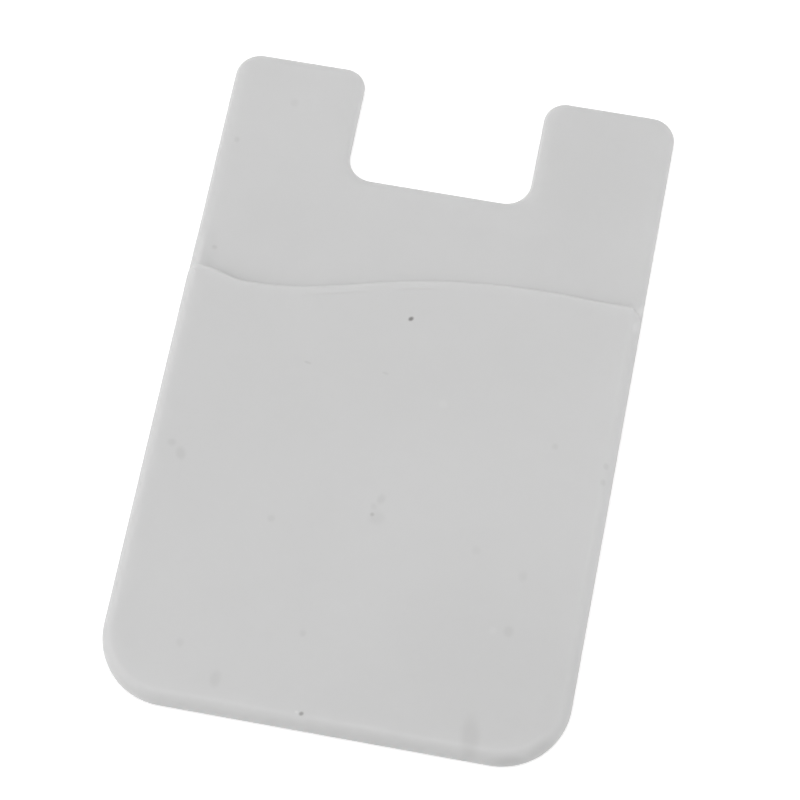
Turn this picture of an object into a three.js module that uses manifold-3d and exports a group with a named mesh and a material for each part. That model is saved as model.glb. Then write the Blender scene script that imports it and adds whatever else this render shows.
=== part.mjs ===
// Stick-on card holder for the back of a phone.
// One soft silicone moulding forms a back sheet and a thin card pocket that is open at a waved lip.
// An adhesive sheet and its peel-off paper lie under the moulding. Millimetres, +Z up, +Y towards the tabs.
import * as THREE from "three";
import Module from "manifold-3d";

// The card that the pocket takes
const cardWidth = 53.98;
const cardThickness = 0.76;
const cardSideClearance = 0.01;
const cardFaceClearance = 0.04;

// Outline of the moulding
const holderHeight = 87;
const sideWall = 1.5;
const floorWall = 1.5;
const bottomCornerRadius = 8.45;
const tabCornerRadius = 3.15;
const notchWidth = 23.4;
const notchDepth = 15.1;
const notchMouthRadius = 2.7;
const notchFloorRadius = 3.15;

// Thickness of the moulding's sheets
const backSheetThickness = 1.1;
const frontPanelThickness = 1.1;

// Heights of the lip above the bottom edge, and where its trough and crest lie
const lipLeftHeight = 56.5;
const lipTroughHeight = 54.8;
const lipCrestHeight = 60.25;
const lipRightHeight = 60;
const lipTroughFromLeft = 8.5;
const lipCrestFromRight = 8.8;
const lipEndRadius = 1.8;

// How far the lip's curve runs level out of each of its points
const lipEndEase = 2.2;
const lipTroughEaseLeft = 3.4;
const lipTroughEaseRight = 12.8;
const lipCrestEaseLeft = 23.6;
const lipCrestEaseRight = 3;

// Rounded rims: how far each one reaches in from the outline, and how deep it is
const backRim = { reach: 0.25, depth: 0.25 };
const sheetRim = { reach: 1.7, depth: 0.7 };
const pocketRim = { reach: 1.45, depth: 2.3 };
const lipRim = { reach: 0.55, depth: 0.45 };

// Adhesive sheet and its paper
const adhesiveMargin = 4;
const adhesiveThickness = 0.25;
const linerThickness = 0.12;
const peelTabWidth = 12;
const peelTabReach = 2.8;
const peelTabRadius = 2;

// Fineness of the round stretches
const cornerDivisions = 8;
const rimSteps = 8;
const backRimSteps = 2;
const lipSteps = { end: 6, wave: 24 };
const quarterTurn = Math.PI / 2;

const pocketWidth = cardWidth + 2 * cardSideClearance;
const pocketGap = cardThickness + cardFaceClearance;
const holderWidth = pocketWidth + 2 * sideWall;
const halfWidth = holderWidth / 2;
const notchFloorHeight = holderHeight - notchDepth;
const mouldingBase = linerThickness + adhesiveThickness;
const pocketBase = mouldingBase + backSheetThickness;
const pocketTop = pocketBase + pocketGap;
const mouldingTop = pocketTop + frontPanelThickness;

const silicone = new THREE.MeshStandardMaterial({ color: 0xcbcbcb, roughness: 0.6, metalness: 0 });
const adhesive = new THREE.MeshStandardMaterial({ color: 0xd9d7cf, roughness: 0.35, metalness: 0 });
const paper = new THREE.MeshStandardMaterial({ color: 0xf2efe6, roughness: 0.75, metalness: 0 });

// Adds a quarter-round corner that bulges out of the outline, seen going round anticlockwise.
function turnOut(path, centreX, centreY, radius, startAngle) {
  path.absarc(centreX, centreY, radius, startAngle, startAngle + quarterTurn, false);
}

// Adds a quarter-round corner that bends into the outline.
function turnIn(path, centreX, centreY, radius, startAngle) {
  path.absarc(centreX, centreY, radius, startAngle, startAngle - quarterTurn, true);
}

// Starts an outline with the two bottom corners, which the back sheet and the pocket share.
function startAtBottom(inset) {
  const centreX = halfWidth - bottomCornerRadius;
  const radius = bottomCornerRadius - inset;
  const path = new THREE.Path();
  turnOut(path, -centreX, bottomCornerRadius, radius, 2 * quarterTurn);
  turnOut(path, centreX, bottomCornerRadius, radius, 3 * quarterTurn);
  return path;
}

// Outline of the back sheet with its thumb notch, moved in by the inset.
function sheetOutline(inset) {
  const tabX = halfWidth - tabCornerRadius;
  const tabY = holderHeight - tabCornerRadius;
  const mouthX = notchWidth / 2 + notchMouthRadius;
  const mouthY = holderHeight - notchMouthRadius;
  const floorX = notchWidth / 2 - notchFloorRadius;
  const floorY = notchFloorHeight + notchFloorRadius;
  const path = startAtBottom(inset);
  turnOut(path, tabX, tabY, tabCornerRadius - inset, 0);
  turnOut(path, mouthX, mouthY, notchMouthRadius - inset, quarterTurn);
  turnIn(path, floorX, floorY, notchFloorRadius + inset, 0);
  turnIn(path, -floorX, floorY, notchFloorRadius + inset, -quarterTurn);
  turnOut(path, -mouthX, mouthY, notchMouthRadius - inset, 0);
  turnOut(path, -tabX, tabY, tabCornerRadius - inset, quarterTurn);
  return path.getPoints(cornerDivisions);
}

// One stretch of the lip, level at both ends, running towards -X.
function lipStretch(from, to, easeOut, easeIn) {
  const leave = new THREE.Vector2(from.x - easeOut, from.y);
  const arrive = new THREE.Vector2(to.x + easeIn, to.y);
  return new THREE.CubicBezierCurve(from, leave, arrive, to);
}

// Points of the waved lip from right to left, moved into the pocket by the inset.
function lipPoints(inset) {
  const right = new THREE.Vector2(halfWidth - lipEndRadius, lipRightHeight);
  const crest = new THREE.Vector2(halfWidth - lipCrestFromRight, lipCrestHeight);
  const trough = new THREE.Vector2(lipTroughFromLeft - halfWidth, lipTroughHeight);
  const left = new THREE.Vector2(lipEndRadius - halfWidth, lipLeftHeight);
  const stretches = [
    { curve: lipStretch(right, crest, lipEndEase, lipCrestEaseRight), steps: lipSteps.end },
    { curve: lipStretch(crest, trough, lipCrestEaseLeft, lipTroughEaseRight), steps: lipSteps.wave },
    { curve: lipStretch(trough, left, lipTroughEaseLeft, lipEndEase), steps: lipSteps.end },
  ];
  const points = [];
  for (const { curve, steps } of stretches) {
    for (let step = 1; step <= steps; step++) {
      const along = curve.getTangent(step / steps);
      const inward = new THREE.Vector2(-along.y, along.x);
      points.push(curve.getPoint(step / steps).addScaledVector(inward, inset));
    }
  }
  points.pop();
  return points;
}

// Outline of the pocket: the lower part of the holder, closed by the lip.
function pocketOutline(inset) {
  const path = startAtBottom(inset);
  const centreX = halfWidth - lipEndRadius;
  turnOut(path, centreX, lipRightHeight - lipEndRadius, lipEndRadius - inset, 0);
  for (const point of lipPoints(inset)) {
    path.lineTo(point.x, point.y);
  }
  turnOut(path, -centreX, lipLeftHeight - lipEndRadius, lipEndRadius - inset, quarterTurn);
  return path.getPoints(cornerDivisions);
}

// Closed solid through a stack of sections that all have as many points; the first and last are level.
function loft(sections) {
  const count = sections[0].length;
  const positions = sections.flatMap((points) => points.flatMap(({ x, y, z }) => [x, y, z]));
  const faces = [];
  for (let layer = 0; layer < sections.length - 1; layer++) {
    for (let corner = 0; corner < count; corner++) {
      const low = layer * count + corner;
      const lowNext = layer * count + ((corner + 1) % count);
      faces.push(low, lowNext, lowNext + count, low, lowNext + count, low + count);
    }
  }
  const lastLayer = (sections.length - 1) * count;
  for (const [a, b, c] of THREE.ShapeUtils.triangulateShape(sections[0], [])) {
    faces.push(c, b, a);
  }
  for (const [a, b, c] of THREE.ShapeUtils.triangulateShape(sections.at(-1), [])) {
    faces.push(a + lastLayer, b + lastLayer, c + lastLayer);
  }
  return { positions, faces };
}

// Section with every point of an outline at one height.
function levelSection(points, z) {
  return points.map(({ x, y }) => new THREE.Vector3(x, y, z));
}

// Front rim of the pocket at a point of its outline: deep along the walls and small along the lip.
function pocketRimAt({ x, y }) {
  const fromSide = THREE.MathUtils.smoothstep(halfWidth - Math.abs(x), 0, sideWall);
  const share = y > holderHeight / 2 ? fromSide : 0;
  return {
    reach: THREE.MathUtils.lerp(pocketRim.reach, lipRim.reach, share),
    depth: THREE.MathUtils.lerp(pocketRim.depth, lipRim.depth, share),
  };
}

// Slab between two heights whose back and front rims are rounded as quarter ellipses.
function rimmedSlab(outline, base, top, frontRimAt) {
  const sections = [];
  for (let step = 0; step <= backRimSteps; step++) {
    const angle = (step / backRimSteps) * quarterTurn;
    const inset = backRim.reach * (1 - Math.sin(angle));
    sections.push(levelSection(outline(inset), base + backRim.depth * (1 - Math.cos(angle))));
  }
  const edge = outline(0);
  const oneInside = outline(1);
  for (let step = 0; step <= rimSteps; step++) {
    const angle = (step / rimSteps) * quarterTurn;
    const section = edge.map((point, index) => {
      const { reach, depth } = frontRimAt(point);
      const moved = point.clone().lerp(oneInside[index], reach * (1 - Math.cos(angle)));
      return new THREE.Vector3(moved.x, moved.y, top - depth * (1 - Math.sin(angle)));
    });
    sections.push(section);
  }
  return loft(sections);
}

// Space for the card: it follows the outline inside the walls and runs out past the lip.
function cardSpace() {
  const radius = bottomCornerRadius - sideWall;
  const centreX = pocketWidth / 2 - radius;
  const path = new THREE.Path();
  turnOut(path, -centreX, floorWall + radius, radius, 2 * quarterTurn);
  turnOut(path, centreX, floorWall + radius, radius, 3 * quarterTurn);
  path.lineTo(pocketWidth / 2, holderHeight);
  path.lineTo(-pocketWidth / 2, holderHeight);
  const points = path.getPoints(cornerDivisions);
  return loft([levelSection(points, pocketBase), levelSection(points, pocketTop)]);
}

const wasm = await Module();
wasm.setup();

function toSolid({ positions, faces }) {
  const vertProperties = new Float32Array(positions);
  const triVerts = new Uint32Array(faces);
  return new wasm.Manifold(new wasm.Mesh({ numProp: 3, vertProperties, triVerts }));
}

function toGeometry(solid) {
  const { vertProperties, triVerts } = solid.getMesh();
  const geometry = new THREE.BufferGeometry();
  geometry.setAttribute("position", new THREE.BufferAttribute(vertProperties, 3));
  geometry.setIndex(new THREE.BufferAttribute(triVerts, 1));
  geometry.computeVertexNormals();
  return geometry;
}

// The silicone moulding: pocket block less the card's space, joined to the back sheet.
function makeHolderBody() {
  const block = toSolid(rimmedSlab(pocketOutline, mouldingBase, mouldingTop, pocketRimAt));
  const sheet = toSolid(rimmedSlab(sheetOutline, mouldingBase, pocketBase, () => sheetRim));
  const body = block.subtract(toSolid(cardSpace())).add(sheet);
  const mesh = new THREE.Mesh(toGeometry(body), silicone);
  mesh.name = "holder_body";
  return mesh;
}

// Outline of the adhesive sheet, and of its paper where a peel tab reaches out of the top edge.
function adhesiveOutline(tabReach) {
  const radius = bottomCornerRadius - adhesiveMargin;
  const right = halfWidth - adhesiveMargin;
  const top = notchFloorHeight - adhesiveMargin;
  const shape = new THREE.Shape();
  turnOut(shape, radius - right, adhesiveMargin + radius, radius, 2 * quarterTurn);
  turnOut(shape, right - radius, adhesiveMargin + radius, radius, 3 * quarterTurn);
  turnOut(shape, right - radius, top - radius, radius, 0);
  if (tabReach > 0) {
    const tabCentreX = peelTabWidth / 2 - peelTabRadius;
    shape.lineTo(peelTabWidth / 2, top);
    turnOut(shape, tabCentreX, top + tabReach - peelTabRadius, peelTabRadius, 0);
    turnOut(shape, -tabCentreX, top + tabReach - peelTabRadius, peelTabRadius, quarterTurn);
    shape.lineTo(-peelTabWidth / 2, top);
  }
  turnOut(shape, radius - right, top - radius, radius, quarterTurn);
  return shape;
}

function makeSheet(name, shape, thickness, base, material) {
  const settings = { depth: thickness, bevelEnabled: false, curveSegments: cornerDivisions };
  const mesh = new THREE.Mesh(new THREE.ExtrudeGeometry(shape, settings), material);
  mesh.name = name;
  mesh.position.z = base;
  return mesh;
}

const cardHolder = new THREE.Group();
cardHolder.name = "card_holder";
cardHolder.add(makeHolderBody());
cardHolder.add(makeSheet("adhesive_pad", adhesiveOutline(0), adhesiveThickness, linerThickness, adhesive));
cardHolder.add(makeSheet("release_liner", adhesiveOutline(peelTabReach), linerThickness, 0, paper));
cardHolder.position.y = -holderHeight / 2;

export default cardHolder;
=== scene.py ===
"""Soft silicone card holder that sticks to the back of a phone, lying on its back on a white floor.

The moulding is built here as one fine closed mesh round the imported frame: rounded rims, a waved lip and the
open pocket behind it. Plan sizes are in millimetres, with x from the middle and y from the bottom edge.
"""
import math

import bmesh
import bpy
import numpy as np
from mathutils import Matrix, Vector
from mathutils.geometry import delaunay_2d_cdt


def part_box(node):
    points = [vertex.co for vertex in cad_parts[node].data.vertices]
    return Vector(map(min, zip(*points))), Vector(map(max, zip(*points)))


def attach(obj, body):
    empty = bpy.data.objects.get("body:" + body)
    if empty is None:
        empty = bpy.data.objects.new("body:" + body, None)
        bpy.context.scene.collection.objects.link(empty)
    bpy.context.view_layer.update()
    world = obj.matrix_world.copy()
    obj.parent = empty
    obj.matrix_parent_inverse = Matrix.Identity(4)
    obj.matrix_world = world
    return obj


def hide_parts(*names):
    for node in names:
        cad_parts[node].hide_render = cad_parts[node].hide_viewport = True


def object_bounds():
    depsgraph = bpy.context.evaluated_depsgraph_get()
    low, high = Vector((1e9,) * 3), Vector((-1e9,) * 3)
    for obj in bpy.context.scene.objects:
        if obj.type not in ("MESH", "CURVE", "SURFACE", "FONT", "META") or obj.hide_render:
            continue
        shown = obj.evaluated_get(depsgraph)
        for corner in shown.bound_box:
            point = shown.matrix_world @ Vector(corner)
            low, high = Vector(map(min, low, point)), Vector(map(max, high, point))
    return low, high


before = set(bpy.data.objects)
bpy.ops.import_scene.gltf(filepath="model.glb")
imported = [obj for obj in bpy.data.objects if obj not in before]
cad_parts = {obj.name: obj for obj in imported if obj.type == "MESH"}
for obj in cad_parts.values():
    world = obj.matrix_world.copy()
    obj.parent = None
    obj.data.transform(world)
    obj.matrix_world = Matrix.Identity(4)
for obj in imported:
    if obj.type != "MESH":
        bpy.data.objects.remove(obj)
cad_low, cad_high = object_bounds()
body_low, body_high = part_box("holder_body")

MM = 0.001
QUARTER = math.pi / 2

# Sizes that the frame gives
HALF_WIDTH = body_high.x / MM
HEIGHT = (body_high.y - body_low.y) / MM
THICKNESS = (body_high.z - body_low.z) / MM

# Outline of the moulding
BOTTOM_RADIUS = 8.45
TAB_RADIUS = 3.15
NOTCH_HALF_WIDTH = 11.7
NOTCH_DEPTH = 15.1
NOTCH_MOUTH_RADIUS = 2.7
NOTCH_FLOOR_RADIUS = 3.15
WALL = 1.5

# Heights above the moulding's back
SHEET_TOP = 1.1
POCKET_CEILING = 1.9

# Lip: its turning points, the level run out of each and the rounding of its two ends
LIP_RIGHT_HEIGHT = 59.9
LIP_CREST = (17.6, 60.36)
LIP_TROUGH = (-21.7, 54.9)
LIP_LEFT_HEIGHT = 56.0
LIP_RIGHT_RADIUS = 2.0
LIP_LEFT_RADIUS = 1.0
LIP_RIGHT_EASES = (1.2, 2.6)
LIP_MIDDLE_EASES = (22.1, 13.5)
LIP_LEFT_EASES = (0.9, 2.7)
LIP_ZONE_START = 40

# Rounded rims: reach in from the outline and depth
BACK_RIM = (0.25, 0.25)
SHEET_RIM = (1.7, 0.7)
POCKET_RIM = (1.45, 2.3)
LIP_RIM = (0.55, 0.45)

# Sag of the soft front panel behind its lip, with its ease from the left and from the right wall
SAG = 0.66
SAG_RUN = 22.0
SAG_EASE = (14.0, 6.0)

# Faint line along part of the lip; each stretch has its start, end and fade
LINE_STRETCHES = ((-14.5, -4.5, 2.0), (-2.5, 3.2, 1.5))
LINE_INSET = 1.2
LINE_DEPTH = 0.035
LINE_HALF_WIDTH = 0.22

# Low ridges where the side walls run out on to the back sheet, with their fall in shares of that run
LEFT_RUN_OUT = 5.9
RIGHT_RUN_OUT = 3.2
RIDGE_FOOT = 0.6
RIDGE_SLOPE = 0.9
RIDGE_TOPS = (1.42, 1.85)
RIDGE_TOP_RUN = 2.5
RIDGE_STEEPER = 0.5
RIDGE_CLEAR = 0.03
RIDGE_FALL = (0.55, 0.45)
RIDGE_LEAD = 2.0
RIDGE_CREST = 1.0
RIDGE_WIDTH = 2.8

# Fineness of the mesh: steps along the outline, the grid inside it, and rings and points by number
ALONG_STEP = 0.6
GRID_STEP = 1.5
GRID_CLEAR = 1.9
RIM_RINGS = 9
RING_CLEAR_SHARE = 0.45
RING_CLEAR_LEAST = 0.004
RING_CLEAR_MOST = 0.12
BACK_RIM_STEPS = 4
CORNER_POINTS = 4
LIP_END_STEPS = 14
LIP_MIDDLE_STEPS = 70
LINE_RINGS = 7
LINE_SPREAD = 2
LINE_ROWS = slice(20, -12)
SHARP_ANGLE = 50

# Smallest lengths, in millimetres for the plan and in metres for the finished mesh
EDGE_TOLERANCE = 0.001
FILL_TOLERANCE = 1e-7
SLOT_TOLERANCE = 1e-9
NOT_ZERO = 1e-12
WELD_DISTANCE = 2e-7
SLIVER_LENGTH = 1e-8

# Silicone: its colours, its polish, how light goes into it, the colours of its marks and of its painted shade
# and highlights, and the strength and fade of these
SILICONE = (0.597, 0.597, 0.597)
SILICONE_DEEP = (0.592, 0.592, 0.592)
SILICONE_PALE = (0.602, 0.602, 0.602)
SILICONE_ROUGHNESS = (0.52, 0.64)
SILICONE_IOR = 1.41
SILICONE_SCATTER = 0.7
SILICONE_DEPTH = 1.7 * MM
# Dark colour of the dark marks and of the painted shade; pale colour of the pale marks and of the painted
# highlights
DIRT_AND_SHADE = (0.17, 0.165, 0.16)
DUST_AND_HIGHLIGHT = (0.85, 0.85, 0.84)
MARK_FULL = 0.5
MARKED_HEIGHT = (0.5, 0.9)
MARK_FADE = (1.0, 0.25)

# Small marks, painted shade and painted highlights on the front: x, y, half length, half width in mm, turn in
# degrees, darkness (pale if negative)
MARKS_AND_PAINTED_LIGHT = [
    (0.4, 53.5, 0.52, 0.40, 45, 0.42),
    (0.7, 27.3, 0.36, 0.36, 0, 0.13),
    (1.3, 27.0, 1.5, 1.3, 0, 0.03),
    (0.7, 28.3, 0.6, 0.6, 0, 0.03),
    (1.4, 29.4, 0.7, 1.0, -20, 0.045),
    (-2.7, 1.4, 0.42, 0.34, 30, 0.32),
    (-3.3, 1.5, 0.3, 0.25, 0, -0.12),
    (-11.0, 45.4, 0.7, 0.26, -10, 0.06),
    (-1.3, 45.7, 0.6, 0.24, -10, 0.05),
    (-25.2, 32.0, 0.8, 0.7, 0, 0.045),
    (-23.8, 30.8, 0.9, 1.2, 20, 0.05),
    (-11.2, 24.6, 0.7, 0.7, 0, 0.04),
    (-4.5, 11.1, 0.6, 0.6, 0, 0.04),
    (-13.6, 3.7, 1.0, 1.5, 0, 0.04),
    (-18.7, 7.3, 0.7, 0.8, 0, 0.035),
    (17.7, 15.6, 0.7, 0.7, 0, -0.035),
    (19.5, 15.8, 0.9, 1.0, 0, 0.045),
    (20.9, 39.9, 0.6, 0.6, 0, 0.04),
    (27.4, 38.5, 0.5, 0.6, 0, 0.05),
    (27.4, 36.4, 0.5, 0.6, 0, 0.05),
    (20.0, 22.9, 0.8, 1.0, 0, 0.03),
    (13.9, 25.1, 0.8, 0.8, 0, 0.025),
    (6.5, 42.9, 0.8, 0.8, 0, -0.03),
    (17.4, 2.3, 1.6, 3.6, 8, 0.05),
    (-26.3, 74.4, 0.5, 0.6, 0, 0.05),
    (-20.1, 80.8, 0.8, 0.8, 0, 0.03),
    (-25.9, 59.2, 0.5, 0.4, 0, 0.06),
    # Painted highlights: two pale bands on the right rim beside the lip's end
    (28.1, 60.2, 1.3, 0.5, 82, -0.10),
    (27.9, 57.3, 1.2, 0.45, 82, -0.08),
    # Painted shade: two dark bands along the rim of the bottom-right corner
    (22.4, 0.3, 3.6, 1.0, 14, 0.06),
    (25.9, 2.3, 3.6, 1.1, 45, 0.06),
    # Broad faint darkening over the right tab and towards the lower right corner
    (19.0, 78.0, 15.0, 11.0, 80, 0.018),
    (27.0, -1.0, 42.0, 35.0, 0, 0.028),
]

# Adhesive and its paper
ADHESIVE = (0.66, 0.65, 0.60)
ADHESIVE_PALE = (0.73, 0.72, 0.67)
ADHESIVE_STRETCH = (0.25, 2.5, 1)
ADHESIVE_ROUGHNESS = (0.22, 0.36)
PAPER = (0.80, 0.775, 0.70)
PAPER_PALE = (0.88, 0.865, 0.80)
PAPER_FLECK = (0.72, 0.69, 0.60)
PAPER_STRETCH = (1.0, 0.35, 1)
PAPER_ROUGHNESS = (0.38, 0.52)

# Where most values of a noise lie
NOISE_RANGE = (0.3, 0.7)

# Floor, with its lap under the outline and its reach in millimetres, and the world's light
FLOOR_WHITE = (0.88, 0.88, 0.88, 1)
FLOOR_GLOW = 0.35
FLOOR_LAP = 1.5
FLOOR_REACH = 1200.0
FLOOR_GAP = 0.02 * MM
SKY_STRENGTH = 0.55
GROUND_STRENGTH = 0.34
HORIZON = (-0.05, 0.05)

# Lamps: azimuth and elevation in degrees, distance and size in metres, power in watts
LAMPS = [
    ("left_softbox", -84, 22, 1.8, 1.2, 9.6),
    ("right_softbox", 90, 22, 1.8, 1.2, 5.2),
    ("top_softbox", 0, 84, 1.0, 0.6, 3.62),
]

# The photograph's view: angles in degrees, lens and sensor in millimetres, other lengths in metres
LENS = 139.02
VIEW_AZIMUTH = 15.136
VIEW_ELEVATION = 68.738
VIEW_ROLL = -4.41
VIEW_DISTANCE = 0.38004
VIEW_AIM = Vector((1.02, 43.02 - HEIGHT / 2, 1.87)) * MM
SENSOR_WIDTH = 36
NEAREST_SEEN = 0.01


def arc(centre, radius, start, turn, bulge=1):
    """Points and outward directions of a round corner; bulge is -1 where it bends into the outline."""
    count = CORNER_POINTS + round(abs(turn) * radius / ALONG_STEP)
    angles = np.linspace(start, start + turn, count)
    spokes = np.stack([np.cos(angles), np.sin(angles)], axis=1)
    return np.array(centre) + radius * spokes, bulge * spokes


def station(x, y, outward_x):
    """A single fixed point on one of the long sides."""
    return np.array([[x, y]]), np.array([[outward_x, 0.0]])


def straight(start, end):
    """Points strictly between two ends, and the direction out of the outline there."""
    along = end - start
    length = np.linalg.norm(along)
    count = int(length / ALONG_STEP)
    if count < 1:
        return np.empty((0, 2)), np.empty((0, 2))
    shares = np.arange(1, count + 1) / (count + 1)
    outward = np.array([along[1], -along[0]]) / length
    return start + shares[:, None] * along, np.tile(outward, (count, 1))


def chain(pieces, closed):
    """Joins corners with straight runs into one outline, walked anticlockwise."""
    points, outward = [], []
    followers = pieces[1:] + pieces[:1] if closed else pieces[1:]
    for index, piece in enumerate(pieces):
        points.append(piece[0])
        outward.append(piece[1])
        if index < len(followers):
            run = straight(piece[0][-1], followers[index][0][0])
            points.append(run[0])
            outward.append(run[1])
    return np.concatenate(points), np.concatenate(outward)


def sheet_outline():
    """The whole outline, with a fixed point on each side where the lip meets it."""
    bottom_x = HALF_WIDTH - BOTTOM_RADIUS
    tab_x = HALF_WIDTH - TAB_RADIUS
    tab_y = HEIGHT - TAB_RADIUS
    mouth_x = NOTCH_HALF_WIDTH + NOTCH_MOUTH_RADIUS
    mouth_y = HEIGHT - NOTCH_MOUTH_RADIUS
    floor_x = NOTCH_HALF_WIDTH - NOTCH_FLOOR_RADIUS
    floor_y = HEIGHT - NOTCH_DEPTH + NOTCH_FLOOR_RADIUS
    return chain([
        station(-HALF_WIDTH, LIP_LEFT_HEIGHT - LIP_LEFT_RADIUS, -1),
        arc((-bottom_x, BOTTOM_RADIUS), BOTTOM_RADIUS, 2 * QUARTER, QUARTER),
        arc((bottom_x, BOTTOM_RADIUS), BOTTOM_RADIUS, 3 * QUARTER, QUARTER),
        station(HALF_WIDTH, LIP_RIGHT_HEIGHT - LIP_RIGHT_RADIUS, 1),
        arc((tab_x, tab_y), TAB_RADIUS, 0, QUARTER),
        arc((mouth_x, mouth_y), NOTCH_MOUTH_RADIUS, QUARTER, QUARTER),
        arc((floor_x, floor_y), NOTCH_FLOOR_RADIUS, 0, -QUARTER, -1),
        arc((-floor_x, floor_y), NOTCH_FLOOR_RADIUS, -QUARTER, -QUARTER, -1),
        arc((-mouth_x, mouth_y), NOTCH_MOUTH_RADIUS, 0, QUARTER),
        arc((-tab_x, tab_y), TAB_RADIUS, QUARTER, QUARTER),
    ], closed=True)


def wave(start, end, ease_out, ease_in, steps):
    """One stretch of the lip, level at both ends, with the direction out of the pocket."""
    handles = np.array([start, (start[0] - ease_out, start[1]), (end[0] + ease_in, end[1]), end])
    t = np.linspace(0, 1, steps + 1)[:, None]
    weights = [(1 - t) ** 3, 3 * t * (1 - t) ** 2, 3 * t ** 2 * (1 - t), t ** 3]
    points = sum(w * h for w, h in zip(weights, handles))
    slopes = [(1 - t) ** 2, 2 * t * (1 - t), t ** 2]
    along = sum(w * step for w, step in zip(slopes, np.diff(handles, axis=0)))
    along /= np.linalg.norm(along, axis=1)[:, None]
    return points[1:], np.stack([along[:, 1], -along[:, 0]], axis=1)[1:]


def lip_line():
    """The lip in plan, from the right side to the left, with exact points where the slot ends."""
    right_x = HALF_WIDTH - LIP_RIGHT_RADIUS
    left_x = HALF_WIDTH - LIP_LEFT_RADIUS
    right = arc((right_x, LIP_RIGHT_HEIGHT - LIP_RIGHT_RADIUS), LIP_RIGHT_RADIUS, 0, QUARTER)
    left = arc((-left_x, LIP_LEFT_HEIGHT - LIP_LEFT_RADIUS), LIP_LEFT_RADIUS, QUARTER, QUARTER)
    pieces = [
        right,
        wave((right_x, LIP_RIGHT_HEIGHT), LIP_CREST, *LIP_RIGHT_EASES, LIP_END_STEPS),
        wave(LIP_CREST, LIP_TROUGH, *LIP_MIDDLE_EASES, LIP_MIDDLE_STEPS),
        wave(LIP_TROUGH, (-left_x, LIP_LEFT_HEIGHT), *LIP_LEFT_EASES, LIP_END_STEPS),
        (left[0][1:], left[1][1:]),
    ]
    points = np.concatenate([p for p, _ in pieces])
    outward = np.concatenate([n for _, n in pieces])
    for side in (1, -1):
        nearest = np.argmin(np.abs(points[:, 0] - side * (HALF_WIDTH - WALL)))
        points[nearest, 0] = side * (HALF_WIDTH - WALL)
    return points, outward


def nearest_edge(points, polygon):
    """Distance of each point from a closed polygon, and the place on it that is nearest."""
    start = polygon[None]
    along = np.roll(polygon, -1, axis=0)[None] - start
    away = points[:, None] - start
    share = np.clip((away * along).sum(2) / np.maximum((along ** 2).sum(2), NOT_ZERO), 0, 1)
    feet = start + share[..., None] * along
    distance = np.linalg.norm(points[:, None] - feet, axis=2)
    best = distance.argmin(1)
    rows = np.arange(len(points))
    return distance[rows, best], feet[rows, best]


def edge_distance(points, polygon):
    """Distance of each point from a closed polygon."""
    return nearest_edge(points, polygon)[0]


def smooth(value):
    """Eases from 0 to 1."""
    value = np.clip(value, 0, 1)
    return value * value * (3 - 2 * value)


def inside(points, polygon):
    """Which points lie inside a closed polygon."""
    x, y = points[:, :1], points[:, 1:]
    x0, y0 = polygon[:, 0], polygon[:, 1]
    x1, y1 = np.roll(x0, -1), np.roll(y0, -1)
    crosses = (y0 > y) != (y1 > y)
    rise = np.where(np.abs(y1 - y0) < NOT_ZERO, NOT_ZERO, y1 - y0)
    return (crosses & (x < (x1 - x0) * (y - y0) / rise + x0)).sum(1) % 2 == 1


def rim_drop(distance, reach, depth):
    """How far a quarter-elliptic rim lies below the flat it leads to."""
    on_edge = distance < EDGE_TOLERANCE
    share = np.where(on_edge, 1, np.clip(1 - distance / reach, 0, 1))
    return depth * (1 - np.sqrt(1 - share ** 2))


def rim_insets(reach):
    """Where the rings of a rim lie, close together at its steep outer end."""
    return reach * (1 - np.cos(np.linspace(0, QUARTER, RIM_RINGS + 1)[1:]))


outline, outline_out = sheet_outline()
lip, lip_out = lip_line()
right_end = int(np.argmin(np.linalg.norm(outline - lip[0], axis=1)))
lower_outline = outline[:right_end + 1]
upper_outline = np.concatenate([outline[right_end:], outline[:1]])
pocket = np.concatenate([lower_outline, lip[1:-1]])
pocket_out = np.concatenate([outline_out[:right_end + 1], lip_out[1:-1]])
exposed = np.concatenate([upper_outline, lip[-2:0:-1]])
slot = np.flatnonzero(np.abs(lip[:, 0]) <= HALF_WIDTH - WALL + SLOT_TOLERANCE)
slot_lip = lip[slot[0]:slot[-1] + 1]


def nose_height(from_side):
    """Height of the lip's outer edge, which falls to the side walls at both ends."""
    on_lip = smooth(from_side / WALL)
    return THICKNESS - POCKET_RIM[1] - on_lip * (LIP_RIM[1] - POCKET_RIM[1])


def run_out(distance, beyond_lip, length):
    """Ridge that a side wall leaves on the sheet beyond the lip: its height, and how fully it is there."""
    near = 1 - smooth(beyond_lip / RIDGE_TOP_RUN)
    top = RIDGE_TOPS[0] + near * (RIDGE_TOPS[1] - RIDGE_TOPS[0])
    rise = RIDGE_FOOT + (1 + RIDGE_STEEPER * near) * RIDGE_SLOPE * distance
    ridge = np.minimum(np.minimum(rise, top), nose_height(distance) - RIDGE_CLEAR)
    fall = 1 - smooth((beyond_lip / length - RIDGE_FALL[0]) / RIDGE_FALL[1])
    lead = smooth(1 + beyond_lip / RIDGE_LEAD)
    across = 1 - smooth((distance - RIDGE_CREST) / (RIDGE_WIDTH - RIDGE_CREST))
    return ridge, fall * lead * across


def sheet_height(points):
    """Front of the back sheet, with its rounded rim and the two run-outs at the ends of the lip."""
    distance = edge_distance(points, outline)
    distance = np.where(distance < EDGE_TOLERANCE, 0, distance)
    height = SHEET_TOP - rim_drop(distance, *SHEET_RIM)
    for side, lip_end, length in ((-1, LIP_LEFT_HEIGHT, LEFT_RUN_OUT),
                                  (1, LIP_RIGHT_HEIGHT - LIP_RIGHT_RADIUS, RIGHT_RUN_OUT)):
        ridge, share = run_out(distance, points[:, 1] - lip_end, length)
        height = height + share * (points[:, 0] * side > 0) * (ridge - height)
    return height


def lip_height(x):
    """Height of the lip's line above the bottom edge at each x."""
    return np.interp(x, lip[::-1, 0], lip[::-1, 1])


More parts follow.
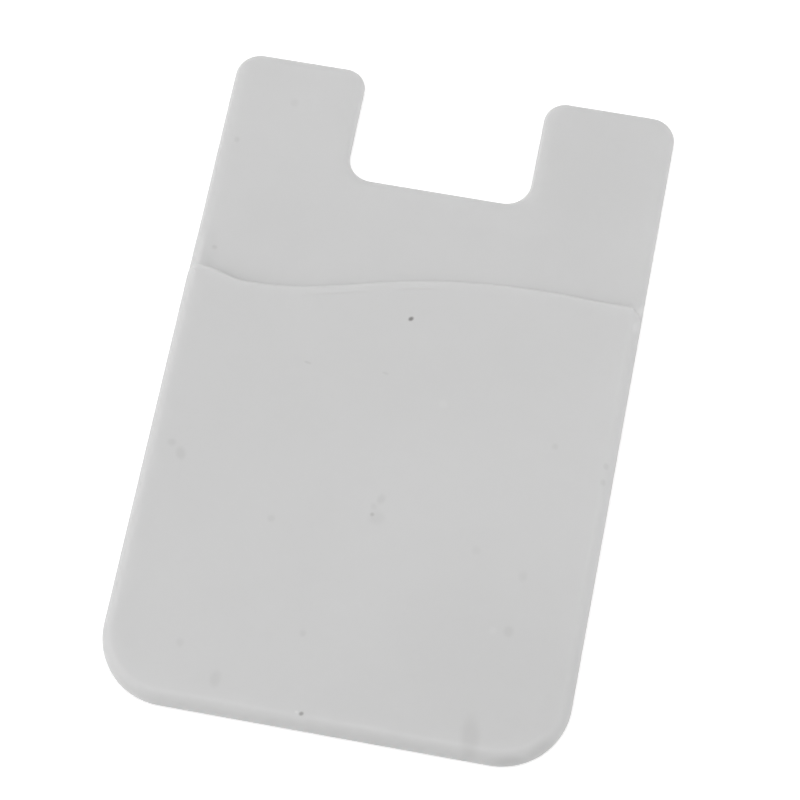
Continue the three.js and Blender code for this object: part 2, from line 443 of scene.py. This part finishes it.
def sag(points):
    """How far the soft front panel hangs towards the sheet behind it."""
    below = np.clip((lip_height(points[:, 0]) - points[:, 1]) / SAG_RUN, 0, 1)
    ease = np.where(points[:, 0] < 0, *SAG_EASE)
    across = smooth((HALF_WIDTH - WALL - np.abs(points[:, 0])) / ease)
    return SAG * across * (1 - smooth(below))


def line_depth(x, distance, on_lip):
    """Depth of the faint line that follows part of the lip."""
    present = sum(smooth((x - start) / fade) * smooth((end - x) / fade)
                  for start, end, fade in LINE_STRETCHES)
    return LINE_DEPTH * on_lip * present * np.exp(-((distance - LINE_INSET) / LINE_HALF_WIDTH) ** 2)


def panel_height(points):
    """Front of the pocket, with its rounded rim along the sides and the smaller one of the lip."""
    distance, foot = nearest_edge(points, pocket)
    on_lip = smooth((HALF_WIDTH - np.abs(foot[:, 0])) / WALL) * (foot[:, 1] > LIP_ZONE_START)
    reach, depth = (side + on_lip * (crest - side) for side, crest in zip(POCKET_RIM, LIP_RIM))
    line = line_depth(points[:, 0], distance, on_lip)
    return THICKNESS - rim_drop(distance, reach, depth) - sag(points) - line


def ceiling_height(points):
    """Back of the front panel, where the card's space ends."""
    return POCKET_CEILING - sag(points)


def loop_edges(first, count):
    """Edges of a closed loop of points that are numbered on from the first."""
    return [(first + i, first + (i + 1) % count) for i in range(count)]


class Skin:
    """Gathers the patches of a closed surface."""

    def __init__(self):
        self.points = []
        self.faces = []

    def strip(self, plan_low, low, plan_high, high):
        """A band between two rows with as many points."""
        first = len(self.points)
        count = len(plan_low)
        self.points += [(*p, z) for p, z in zip(plan_low, low)]
        self.points += [(*p, z) for p, z in zip(plan_high, high)]
        for i in range(count - 1):
            self.faces.append((first + i, first + i + 1, first + count + i + 1, first + count + i))

    def patch(self, border, inner, height):
        """A region filled with triangles through the inner points."""
        plan = [Vector(p) for p in np.concatenate([border, inner])]
        found = delaunay_2d_cdt(plan, loop_edges(0, len(border)), [], 1, FILL_TOLERANCE)
        corners = np.array([tuple(v) for v in found[0]])
        heights = height(corners)
        first = len(self.points)
        self.points += [(*p, z) for p, z in zip(corners, heights)]
        self.faces += [tuple(first + i for i in face) for face in found[2]]


def inner_points(border, rings=()):
    """Ring points and a wide grid inside a border, clear of its edge."""
    low, high = border.min(0), border.max(0)
    xs = np.arange(low[0], high[0], GRID_STEP)
    ys = np.arange(low[1], high[1], GRID_STEP)
    grid = np.stack(np.meshgrid(xs, ys), axis=2).reshape(-1, 2)
    grid[:, 0] += GRID_STEP / 2 * (np.round(grid[:, 1] / GRID_STEP) % 2)
    kept = [grid[inside(grid, border) & (edge_distance(grid, border) > GRID_CLEAR)]]
    for ring in rings:
        clear = RING_CLEAR_SHARE * edge_distance(ring[:1], border)[0]
        clear = min(max(clear, RING_CLEAR_LEAST), RING_CLEAR_MOST)
        kept.append(ring[inside(ring, border) & (edge_distance(ring, border) > clear)])
    return np.concatenate(kept)


def level(height):
    """A height that is the same everywhere."""
    return lambda points: np.full(len(points), height)


def make_body():
    """The whole moulding as one closed mesh."""
    skin = Skin()
    panel_rings = [pocket - inset * pocket_out for inset in rim_insets(POCKET_RIM[0])]
    line_insets = LINE_INSET + LINE_HALF_WIDTH * np.linspace(-LINE_SPREAD, LINE_SPREAD, LINE_RINGS)
    panel_rings += [lip[LINE_ROWS] - inset * lip_out[LINE_ROWS] for inset in line_insets]
    sheet_rings = [outline - inset * outline_out for inset in rim_insets(SHEET_RIM[0])]
    skin.patch(pocket, inner_points(pocket, panel_rings), panel_height)
    skin.patch(exposed, inner_points(exposed, sheet_rings), sheet_height)

    # Outer walls under the rims
    wall_rows = [
        np.full(len(lower_outline), BACK_RIM[1]),
        sheet_height(lower_outline),
        panel_height(lower_outline),
    ]
    for low, high in zip(wall_rows, wall_rows[1:]):
        skin.strip(lower_outline, low, lower_outline, high)
    foot = np.full(len(upper_outline), BACK_RIM[1])
    skin.strip(upper_outline, foot, upper_outline, sheet_height(upper_outline))

    # The lip's own face, whole at its two ends and open to the slot between them
    ceiling = np.clip(ceiling_height(lip), sheet_height(lip), panel_height(lip))
    skin.strip(lip, ceiling, lip, panel_height(lip))
    for end in (slice(0, slot[0] + 1), slice(slot[-1], len(lip))):
        skin.strip(lip[end], sheet_height(lip[end]), lip[end], ceiling[end])

    # The card's space behind the front panel
    radius = BOTTOM_RADIUS - WALL
    side = HALF_WIDTH - WALL
    space_wall, _ = chain([
        (slot_lip[-1:], np.array([[-1.0, 0.0]])),
        arc((radius - side, BOTTOM_RADIUS), radius, 2 * QUARTER, QUARTER),
        arc((side - radius, BOTTOM_RADIUS), radius, 3 * QUARTER, QUARTER),
        (slot_lip[:1], np.array([[1.0, 0.0]])),
    ], closed=False)
    space = np.concatenate([space_wall, slot_lip[1:-1]])
    skin.patch(space, inner_points(space), ceiling_height)
    skin.patch(space, inner_points(space), sheet_height)
    skin.strip(space_wall, sheet_height(space_wall), space_wall, ceiling_height(space_wall))

    # Back rim and back face
    ring = np.concatenate([outline, outline[:1]])
    ring_out = np.concatenate([outline_out, outline_out[:1]])
    angles = np.linspace(0, QUARTER, BACK_RIM_STEPS + 1)
    for before, after in zip(angles, angles[1:]):
        plan = [ring - BACK_RIM[0] * (1 - math.cos(a)) * ring_out for a in (before, after)]
        height = [np.full(len(ring), BACK_RIM[1] * (1 - math.sin(a))) for a in (before, after)]
        skin.strip(plan[0], height[0], plan[1], height[1])
    back = outline - BACK_RIM[0] * outline_out
    skin.patch(back, inner_points(back), level(0.0))
    return skin


def to_mesh(name, skin):
    """Closes the patches into one mesh in the part's own frame, in metres."""
    mesh = bpy.data.meshes.new(name)
    points = np.array(skin.points)
    points[:, 1] -= HEIGHT / 2
    points = points * MM + np.array([0, 0, body_low.z])
    mesh.from_pydata(points.tolist(), [], skin.faces)
    work = bmesh.new()
    work.from_mesh(mesh)
    bmesh.ops.remove_doubles(work, verts=work.verts, dist=WELD_DISTANCE)
    bmesh.ops.dissolve_degenerate(work, dist=SLIVER_LENGTH, edges=work.edges)
    bmesh.ops.recalc_face_normals(work, faces=work.faces)
    work.to_mesh(mesh)
    work.free()
    mesh.shade_smooth()
    mesh.set_sharp_from_angle(angle=math.radians(SHARP_ANGLE))
    piece = bpy.data.objects.new(name, mesh)
    bpy.context.scene.collection.objects.link(piece)
    return piece


def add(tree, kind, inputs=None, **settings):
    """Adds a node; an input is either a plain value or the socket that feeds it."""
    node = tree.nodes.new(kind)
    for name, value in settings.items():
        setattr(node, name, value)
    for name, value in (inputs or {}).items():
        if isinstance(value, bpy.types.NodeSocket):
            tree.links.new(value, node.inputs[name])
        else:
            node.inputs[name].default_value = value
    return node


def new_material(name):
    """An empty material with its shader node and object coordinates in millimetres."""
    material = bpy.data.materials.new(name)
    material.use_nodes = True
    tree = material.node_tree
    shader = tree.nodes["Principled BSDF"]
    coordinates = add(tree, "ShaderNodeTexCoord")
    place = add(tree, "ShaderNodeVectorMath", {0: coordinates.outputs["Object"], 1: (1 / MM,) * 3},
                operation="MULTIPLY")
    return material, tree, shader, place.outputs["Vector"]


def stretch(tree, place, factors):
    """Coordinates scaled by a factor along each axis."""
    return add(tree, "ShaderNodeVectorMath", {0: place, 1: factors}, operation="MULTIPLY").outputs[0]


def noise(tree, place, scale, detail=2.0, roughness=0.5, distortion=0.0):
    """Fractal noise with so many features to the millimetre."""
    node = add(tree, "ShaderNodeTexNoise", {"Vector": place, "Scale": scale, "Detail": detail,
                                            "Roughness": roughness, "Distortion": distortion})
    return node.outputs["Fac"]


def remap(tree, value, low, high, to_low, to_high, eased=False):
    """Carries a range of values over to another range, in a straight line or eased at both ends."""
    node = add(tree, "ShaderNodeMapRange", {"Value": value, "From Min": low, "From Max": high,
                                            "To Min": to_low, "To Max": to_high})
    node.interpolation_type = "SMOOTHSTEP" if eased else "LINEAR"
    return node.outputs["Result"]


def tint(tree, factor, first, second):
    """Mixes two colours, plain ones or sockets; the node's colours go in at 6 and 7 and out at 2."""
    node = add(tree, "ShaderNodeMix", data_type="RGBA")
    for socket, value in zip((node.inputs[0], node.inputs[6], node.inputs[7]), (factor, first, second)):
        if isinstance(value, bpy.types.NodeSocket):
            tree.links.new(value, socket)
        else:
            socket.default_value = value if socket.name == "Factor" else (*value, 1)
    return node.outputs[2]


def bump(tree, height, strength, distance, normal=None):
    """Small relief on a surface, laid over the relief that is already there."""
    inputs = {"Height": height, "Strength": strength, "Distance": distance}
    if normal is not None:
        inputs["Normal"] = normal
    return add(tree, "ShaderNodeBump", inputs).outputs["Normal"]


def spot_group():
    """A soft oval spot on the front, as a node group: 1 at its middle and 0 past its edge."""
    group = bpy.data.node_groups.new("soft_spot", "ShaderNodeTree")
    for name, kind in (("Place", "NodeSocketVector"), ("Centre", "NodeSocketVector"),
                       ("Shrink", "NodeSocketVector"), ("Turn", "NodeSocketFloat")):
        group.interface.new_socket(name, in_out="INPUT", socket_type=kind)
    group.interface.new_socket("Spot", in_out="OUTPUT", socket_type="NodeSocketFloat")
    source = group.nodes.new("NodeGroupInput")
    result = group.nodes.new("NodeGroupOutput")
    away = add(group, "ShaderNodeVectorMath", {0: source.outputs["Place"], 1: source.outputs["Centre"]},
               operation="SUBTRACT")
    turned = add(group, "ShaderNodeVectorRotate",
                 {"Vector": away.outputs[0], "Angle": source.outputs["Turn"]}, rotation_type="Z_AXIS")
    shrunk = add(group, "ShaderNodeVectorMath", {0: turned.outputs[0], 1: source.outputs["Shrink"]},
                 operation="MULTIPLY")
    length = add(group, "ShaderNodeVectorMath", {0: shrunk.outputs[0]}, operation="LENGTH")
    spot = remap(group, length.outputs["Value"], *MARK_FADE, 0, 1, eased=True)
    group.links.new(spot, result.inputs["Spot"])
    return group


def marked(tree, place, colour):
    """Darkens or lightens a colour at each listed spot, the small marks, painted shade and painted
    highlights, on the front and the rims alone.
    """
    group = spot_group()
    unmarked = colour
    for x, y, half_length, half_width, turn, darkness in MARKS_AND_PAINTED_LIGHT:
        spot = tree.nodes.new("ShaderNodeGroup")
        spot.node_tree = group
        tree.links.new(place, spot.inputs["Place"])
        spot.inputs["Centre"].default_value = (x, y - HEIGHT / 2, 0)
        spot.inputs["Shrink"].default_value = (1 / half_length, 1 / half_width, 0)
        spot.inputs["Turn"].default_value = math.radians(-turn)
        # Dark marks and painted shade take the dark colour, pale marks and painted highlights the pale one
        shade = DIRT_AND_SHADE if darkness > 0 else DUST_AND_HIGHLIGHT
        amount = add(tree, "ShaderNodeMath", {0: spot.outputs["Spot"], 1: abs(darkness) / MARK_FULL},
                     operation="MULTIPLY", use_clamp=True)
        colour = tint(tree, amount.outputs[0], colour, shade)
    height = add(tree, "ShaderNodeSeparateXYZ", {0: place}).outputs["Z"]
    return tint(tree, remap(tree, height, *MARKED_HEIGHT, 0, 1), unmarked, colour)


def silicone():
    """Soft matte silicone: fine moulded grain, faint cloudiness, a little light let in, small marks, and some
    painted shade and highlights.
    """
    material, tree, shader, place = new_material("pale_silicone")
    clouds = noise(tree, place, scale=0.06, detail=3)
    mottle = noise(tree, place, scale=0.55, detail=4, roughness=0.6)
    polish = noise(tree, place, scale=0.9, detail=3)
    swell = noise(tree, place, scale=0.12, detail=1)
    grit = noise(tree, place, scale=5.0, detail=3, roughness=0.6)
    colour = tint(tree, remap(tree, clouds, 0.35, 0.65, 0, 1), SILICONE_DEEP, SILICONE_PALE)
    colour = tint(tree, remap(tree, mottle, *NOISE_RANGE, 0, 0.5), colour, SILICONE)
    tree.links.new(marked(tree, place, colour), shader.inputs["Base Color"])
    roughness = remap(tree, polish, *NOISE_RANGE, *SILICONE_ROUGHNESS)
    tree.links.new(roughness, shader.inputs["Roughness"])
    ripple = bump(tree, swell, strength=0.5, distance=0.06 * MM)
    grain = bump(tree, grit, strength=0.35, distance=0.012 * MM, normal=ripple)
    tree.links.new(grain, shader.inputs["Normal"])
    shader.inputs["IOR"].default_value = SILICONE_IOR
    shader.inputs["Subsurface Weight"].default_value = SILICONE_SCATTER
    shader.inputs["Subsurface Radius"].default_value = (1.0, 1.0, 1.0)
    shader.inputs["Subsurface Scale"].default_value = SILICONE_DEPTH
    return material


def adhesive():
    """Milky double-sided adhesive with the faint lay of its roller."""
    material, tree, shader, place = new_material("adhesive_film")
    streaks = noise(tree, stretch(tree, place, ADHESIVE_STRETCH), scale=1.2, detail=3)
    colour = tint(tree, remap(tree, streaks, *NOISE_RANGE, 0, 1), ADHESIVE, ADHESIVE_PALE)
    tree.links.new(colour, shader.inputs["Base Color"])
    roughness = remap(tree, streaks, *NOISE_RANGE, *ADHESIVE_ROUGHNESS)
    tree.links.new(roughness, shader.inputs["Roughness"])
    relief = bump(tree, streaks, strength=0.4, distance=0.01 * MM)
    tree.links.new(relief, shader.inputs["Normal"])
    shader.inputs["Subsurface Weight"].default_value = 0.2
    shader.inputs["Subsurface Scale"].default_value = 0.4 * MM
    return material


def liner_paper():
    """Smooth glassine paper: cloudy fibres, fine tooth and a satin coat."""
    material, tree, shader, place = new_material("release_paper")
    fibres = stretch(tree, place, PAPER_STRETCH)
    cloud = noise(tree, fibres, scale=0.45, detail=6, roughness=0.65, distortion=0.4)
    fleck = noise(tree, fibres, scale=3.2, detail=4, roughness=0.7)
    colour = tint(tree, remap(tree, cloud, *NOISE_RANGE, 0, 1), PAPER, PAPER_PALE)
    colour = tint(tree, remap(tree, fleck, 0.55, 0.8, 0, 0.35), colour, PAPER_FLECK)
    tree.links.new(colour, shader.inputs["Base Color"])
    roughness = remap(tree, cloud, *NOISE_RANGE, *PAPER_ROUGHNESS)
    tree.links.new(roughness, shader.inputs["Roughness"])
    waves = bump(tree, cloud, strength=0.4, distance=0.03 * MM)
    tooth = bump(tree, fleck, strength=0.3, distance=0.01 * MM, normal=waves)
    tree.links.new(tooth, shader.inputs["Normal"])
    shader.inputs["Coat Weight"].default_value = 0.25
    shader.inputs["Coat Roughness"].default_value = 0.35
    return material


def dress(piece, material):
    """Gives a piece one material alone."""
    piece.data.materials.clear()
    piece.data.materials.append(material)


def seen_rays(tree):
    """1 for the rays that show plain white: from the camera, in a gloss and through clear parts."""
    path = add(tree, "ShaderNodeLightPath")
    seen = path.outputs["Is Camera Ray"]
    for kind in ("Is Glossy Ray", "Is Transmission Ray"):
        seen = add(tree, "ShaderNodeMath", {0: seen, 1: path.outputs[kind]}, operation="MAXIMUM").outputs[0]
    return seen


def floor_mesh():
    """A wide flat sheet under the object, with an opening just inside the object's outline."""
    opening = outline - FLOOR_LAP * outline_out
    sheet = FLOOR_REACH * np.array([(-1, -1), (1, -1), (1, 1), (-1, 1)])
    edges = loop_edges(0, len(sheet)) + loop_edges(len(sheet), len(opening))
    corners = [Vector(p) for p in np.concatenate([sheet, opening])]
    found = delaunay_2d_cdt(corners, edges, [], 1, FILL_TOLERANCE)
    plan = np.array([tuple(v) for v in found[0]])
    faces = np.array(found[2])
    faces = faces[~inside(plan[faces].mean(1), opening)]
    plan = (plan - np.array([0, HEIGHT / 2])) * MM
    mesh = bpy.data.meshes.new("floor")
    mesh.from_pydata([(x, y, cad_low.z - FLOOR_GAP) for x, y in plan.tolist()], [], faces.tolist())
    return mesh


def floor_paint():
    """White paint that is lifted to plain white where it is seen, and clear from below."""
    material = bpy.data.materials.new("white_floor")
    material.use_nodes = True
    tree = material.node_tree
    tree.nodes.remove(tree.nodes["Principled BSDF"])
    paint = add(tree, "ShaderNodeBsdfDiffuse", {"Color": FLOOR_WHITE}).outputs[0]
    glow = add(tree, "ShaderNodeMath", {0: seen_rays(tree), 1: FLOOR_GLOW}, operation="MULTIPLY")
    light = add(tree, "ShaderNodeEmission", {"Strength": glow.outputs[0]}).outputs[0]
    lit = add(tree, "ShaderNodeAddShader", {0: paint, 1: light}).outputs[0]
    side = add(tree, "ShaderNodeNewGeometry").outputs["Backfacing"]
    clear = add(tree, "ShaderNodeBsdfTransparent").outputs[0]
    mixed = add(tree, "ShaderNodeMixShader", {0: side, 1: lit, 2: clear}).outputs[0]
    tree.links.new(mixed, tree.nodes["Material Output"].inputs["Surface"])
    return material


def white_floor():
    """The floor, which keeps the object's soft shadow; its opening lets light reach the hidden side."""
    floor = bpy.data.objects.new("floor", floor_mesh())
    bpy.context.scene.collection.objects.link(floor)
    dress(floor, floor_paint())


def white_world():
    """Even light from all sides and less from below, seen as plain white."""
    world = bpy.data.worlds.new("studio")
    bpy.context.scene.world = world
    world.use_nodes = True
    tree = world.node_tree
    seen = seen_rays(tree)
    way = add(tree, "ShaderNodeTexCoord").outputs["Generated"]
    up = add(tree, "ShaderNodeSeparateXYZ", {0: way}).outputs["Z"]
    light = remap(tree, up, *HORIZON, GROUND_STRENGTH, SKY_STRENGTH)
    strength = remap(tree, seen, 0, 1, light, 1)
    background = tree.nodes["Background"]
    background.inputs["Color"].default_value = (1, 1, 1, 1)
    tree.links.new(strength, background.inputs["Strength"])


def softbox(name, azimuth, elevation, distance, size, power):
    """A square lamp aimed at the object from a direction given in degrees."""
    lamp = bpy.data.lights.new(name, "AREA")
    lamp.size = size
    lamp.energy = power
    holder = bpy.data.objects.new(name, lamp)
    back = direction(azimuth, elevation)
    holder.location = back * distance
    holder.rotation_mode = "QUATERNION"
    holder.rotation_quaternion = (-back).to_track_quat("-Z", "Y")
    bpy.context.scene.collection.objects.link(holder)


def direction(azimuth, elevation):
    """Unit vector from the object; azimuth 0 is in front of its bottom edge and 90 at its right."""
    a, e = math.radians(azimuth), math.radians(elevation)
    return Vector((math.sin(a) * math.cos(e), -math.cos(a) * math.cos(e), math.sin(e)))


def photo_camera():
    """The camera that the photograph was taken from, worked out from the object's outline in it."""
    camera = bpy.data.objects.new("camera", bpy.data.cameras.new("camera"))
    camera.data.lens = LENS
    camera.data.sensor_width = SENSOR_WIDTH
    camera.data.clip_start = NEAREST_SEEN
    back = direction(VIEW_AZIMUTH, VIEW_ELEVATION)
    camera.location = VIEW_AIM + back * VIEW_DISTANCE
    upright = (-back).to_track_quat("-Z", "Y").to_matrix()
    roll = Matrix.Rotation(math.radians(VIEW_ROLL), 3, "Z")
    camera.rotation_mode = "QUATERNION"
    camera.rotation_quaternion = (upright @ roll).to_quaternion()
    bpy.context.scene.collection.objects.link(camera)
    bpy.context.scene.camera = camera


body = to_mesh("silicone_moulding", make_body())
dress(body, silicone())
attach(body, "root")
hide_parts("holder_body")
dress(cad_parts["adhesive_pad"], adhesive())
dress(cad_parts["release_liner"], liner_paper())

white_floor()
white_world()
for lamp_settings in LAMPS:
    softbox(*lamp_settings)
photo_camera()
bpy.context.scene.view_settings.view_transform = "Standard"
